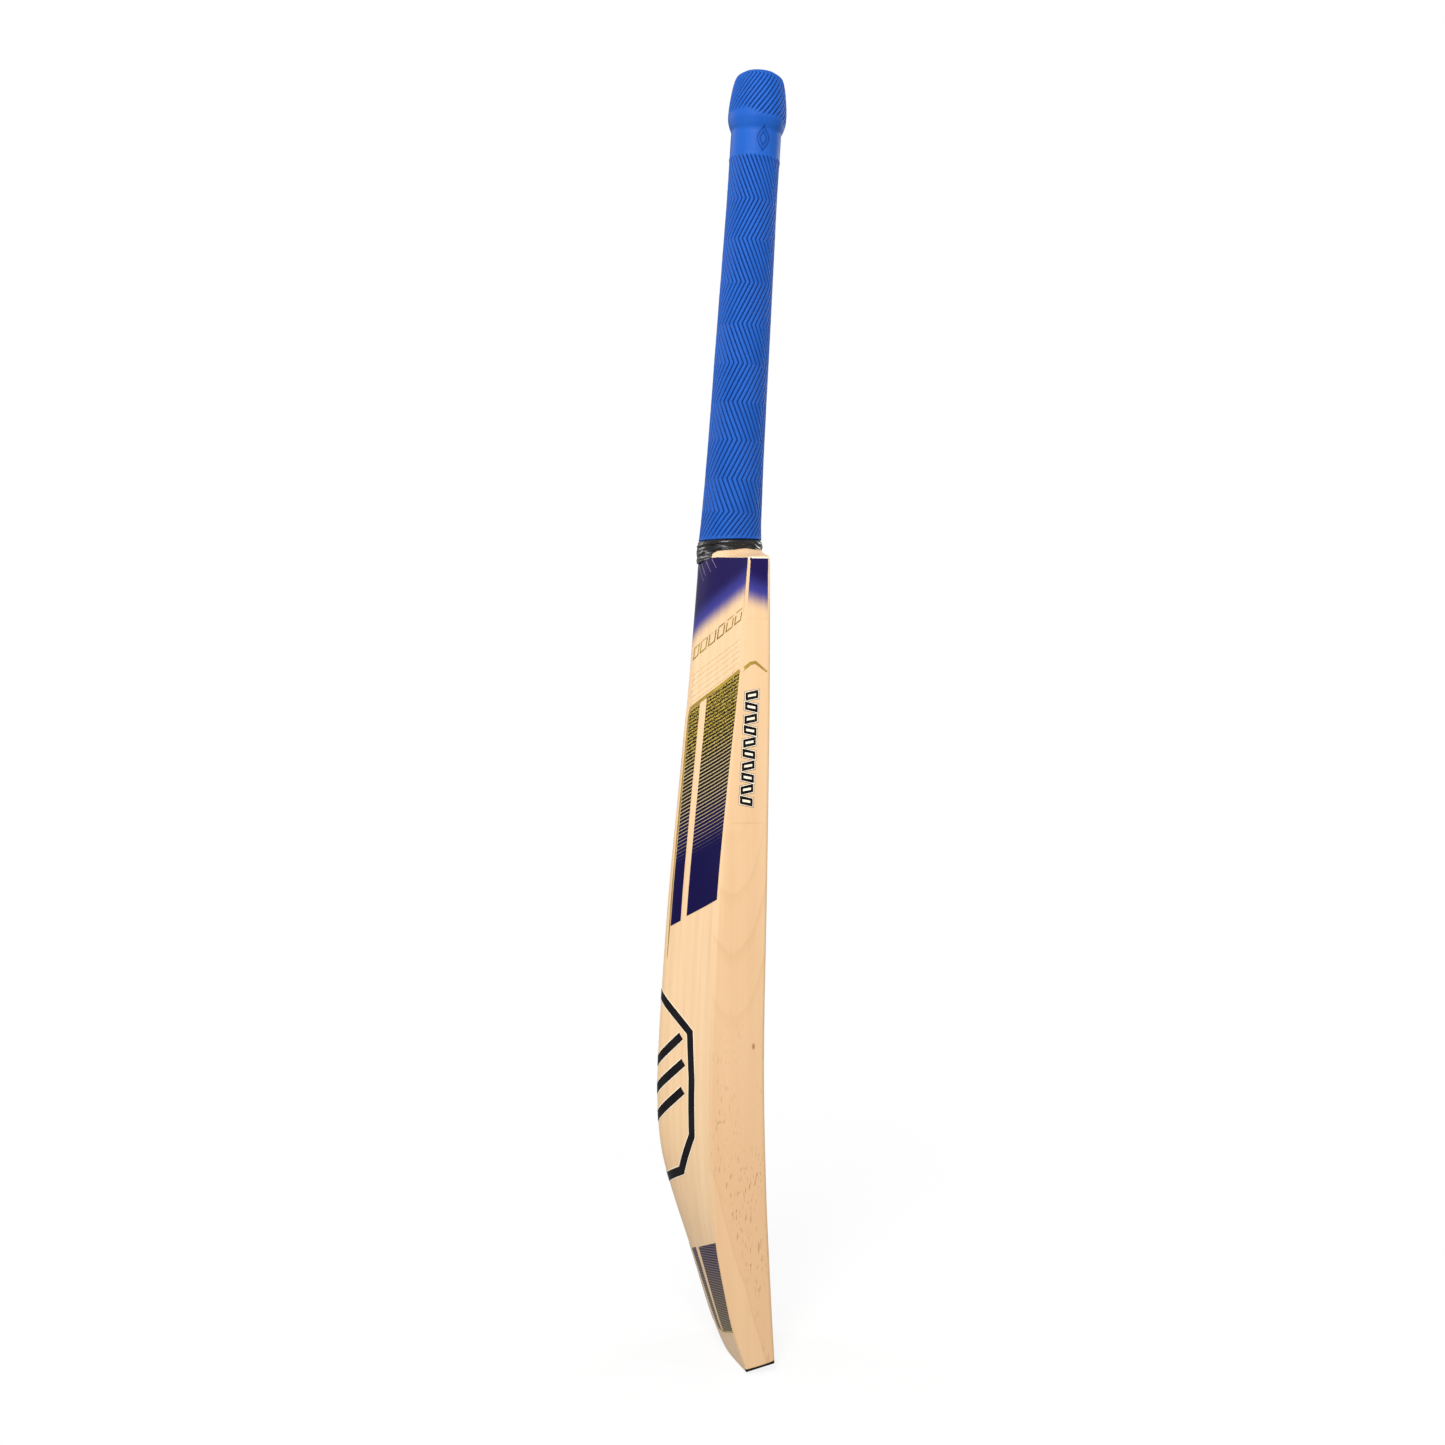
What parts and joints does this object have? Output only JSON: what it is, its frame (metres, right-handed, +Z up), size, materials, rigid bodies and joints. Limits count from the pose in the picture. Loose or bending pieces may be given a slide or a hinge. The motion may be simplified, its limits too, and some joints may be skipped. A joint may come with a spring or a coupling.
{
  "type": "cricket bat",
  "caption": "Adult cricket bat: bowed willow blade with a ridged back, spliced cane handle, ribbed rubber grip, neck tape, toe guard and plain printed labels.",
  "frame": {"origin": "centre of the bounding box in X and Y, at the height of the lowest point of the toe", "axes": "+Z up along the bat from toe to knob, +X across the blade's width, -Y the way the hitting face looks, +Y the way the ridge of the back points"},
  "size_m": [0.1082, 0.0914, 0.8866],
  "materials": {
    "willow": "pale polished willow with fine straight grain",
    "cane": "satin laminated cane with dark pores",
    "spring_rubber": "matt dark sheet rubber",
    "twine": "waxed linen twine wound close and glued",
    "grip_rubber": "matt bright blue rubber with moulded slanted ribs",
    "neck_tape": "glossy stretched black tape",
    "toe_guard_rubber": "satin black rubber",
    "navy_print": "glossy navy and blue printed film",
    "gold_print": "metallic gold printed film",
    "clear_film": null,
    "black_print": "glossy black printed film"
  },
  "bodies": {
    "root": {"blade": "willow", "toe_guard": "toe_guard_rubber", "binding_twine": "twine", "rubber_grip": "grip_rubber", "neck_tape": "neck_tape", "cane_strip_1_left": "cane", "cane_strip_1_middle": "cane", "cane_strip_1_right": "cane", "cane_strip_2_left": "cane", "cane_strip_2_middle": "cane", "cane_strip_2_right": "cane", "cane_strip_3_left": "cane", "cane_strip_3_middle": "cane", "cane_strip_3_right": "cane", "cane_strip_4_left": "cane", "cane_strip_4_middle": "cane", "cane_strip_4_right": "cane", "rubber_spring_1": "spring_rubber", "rubber_spring_2": "spring_rubber", "rubber_spring_3": "spring_rubber", "shoulder_label_back": "navy_print", "shoulder_label_face": "navy_print", "shoulder_label_left": "navy_print", "shoulder_label_right": "navy_print", "side_label_left": "navy_print", "side_label_right": "navy_print", "title_label_left": "gold_print", "title_label_right": "gold_print", "edge_label_left": "clear_film", "edge_label_right": "clear_film", "emblem_label": "black_print", "toe_label_left": "navy_print", "toe_label_right": "navy_print"}
  },
  "joints": []
}
